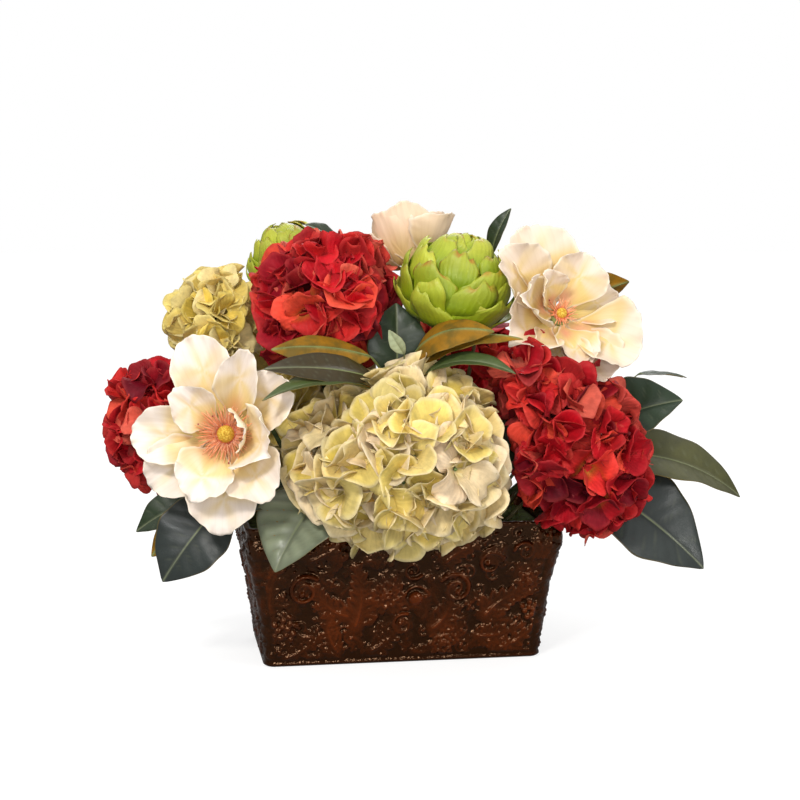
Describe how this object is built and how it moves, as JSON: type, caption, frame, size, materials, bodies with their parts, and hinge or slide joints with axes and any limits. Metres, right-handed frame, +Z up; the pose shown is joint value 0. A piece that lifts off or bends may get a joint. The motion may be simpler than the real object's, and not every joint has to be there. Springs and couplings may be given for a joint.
{
  "type": "floral table centerpiece",
  "caption": "Silk arrangement of hydrangea heads, open magnolias, artichokes and magnolia leaves, standing in foam in a flared rectangular glazed planter with scroll relief.",
  "frame": {"origin": "centre of the planter's flat underside, on the table", "axes": "+Z up, +X along the planter's long side to the viewer's right, -Y towards the viewer"},
  "size_m": [0.575, 0.3775, 0.3986],
  "materials": {
    "glaze": "glossy dark brown glaze over raised scrollwork",
    "foam": "dry floral foam under moss",
    "stem": "matte",
    "cream_petal": "soft cloth petals, yellow-green with beige edges",
    "olive_petal": "soft cloth petals",
    "crimson_petal": "soft cloth petals, crimson with coral edges",
    "magnolia_petal": "smooth ivory petals",
    "peach_petal": "smooth ivory petals with a peach outside",
    "stamen": "orange threads",
    "cone": "yellow, rough",
    "artichoke": "satin lime green",
    "leaf": "glossy dark green above, ochre below"
  },
  "bodies": {
    "root": {"planter": "glaze", "floral_foam": "foam", "hydrangea_cream_front": "cream_petal", "hydrangea_cream_front_stem": "stem", "hydrangea_red_top": "crimson_petal", "hydrangea_red_top_stem": "stem", "hydrangea_red_right": "crimson_petal", "hydrangea_red_right_stem": "stem", "hydrangea_red_left": "crimson_petal", "hydrangea_red_left_stem": "stem", "hydrangea_olive_left": "olive_petal", "hydrangea_olive_left_stem": "stem", "hydrangea_cream_back": "cream_petal", "hydrangea_cream_back_stem": "stem", "hydrangea_red_back": "crimson_petal", "hydrangea_red_back_stem": "stem", "artichoke_centre": "artichoke", "artichoke_centre_stem": "stem", "artichoke_back_left": "artichoke", "artichoke_back_left_stem": "stem", "magnolia_left_petals": "magnolia_petal", "magnolia_left_stamens": "stamen", "magnolia_left_cone": "cone", "magnolia_left_stem": "stem", "magnolia_right_petals": "magnolia_petal", "magnolia_right_stamens": "stamen", "magnolia_right_cone": "cone", "magnolia_right_stem": "stem", "magnolia_back_petals": "peach_petal", "magnolia_back_stamens": "stamen", "magnolia_back_cone": "cone", "magnolia_back_stem": "stem", "sprig_centre_left": "leaf", "sprig_centre_right": "leaf", "sprig_top": "leaf", "sprig_top_left": "leaf", "sprig_right_back": "leaf", "sprig_right_upper": "leaf", "sprig_right_lower": "leaf", "sprig_left_low": "leaf", "sprig_front": "leaf", "sprig_back_left": "leaf", "sprig_back_middle": "leaf", "sprig_back_right": "leaf", "sprig_back_top": "leaf"}
  },
  "joints": []
}
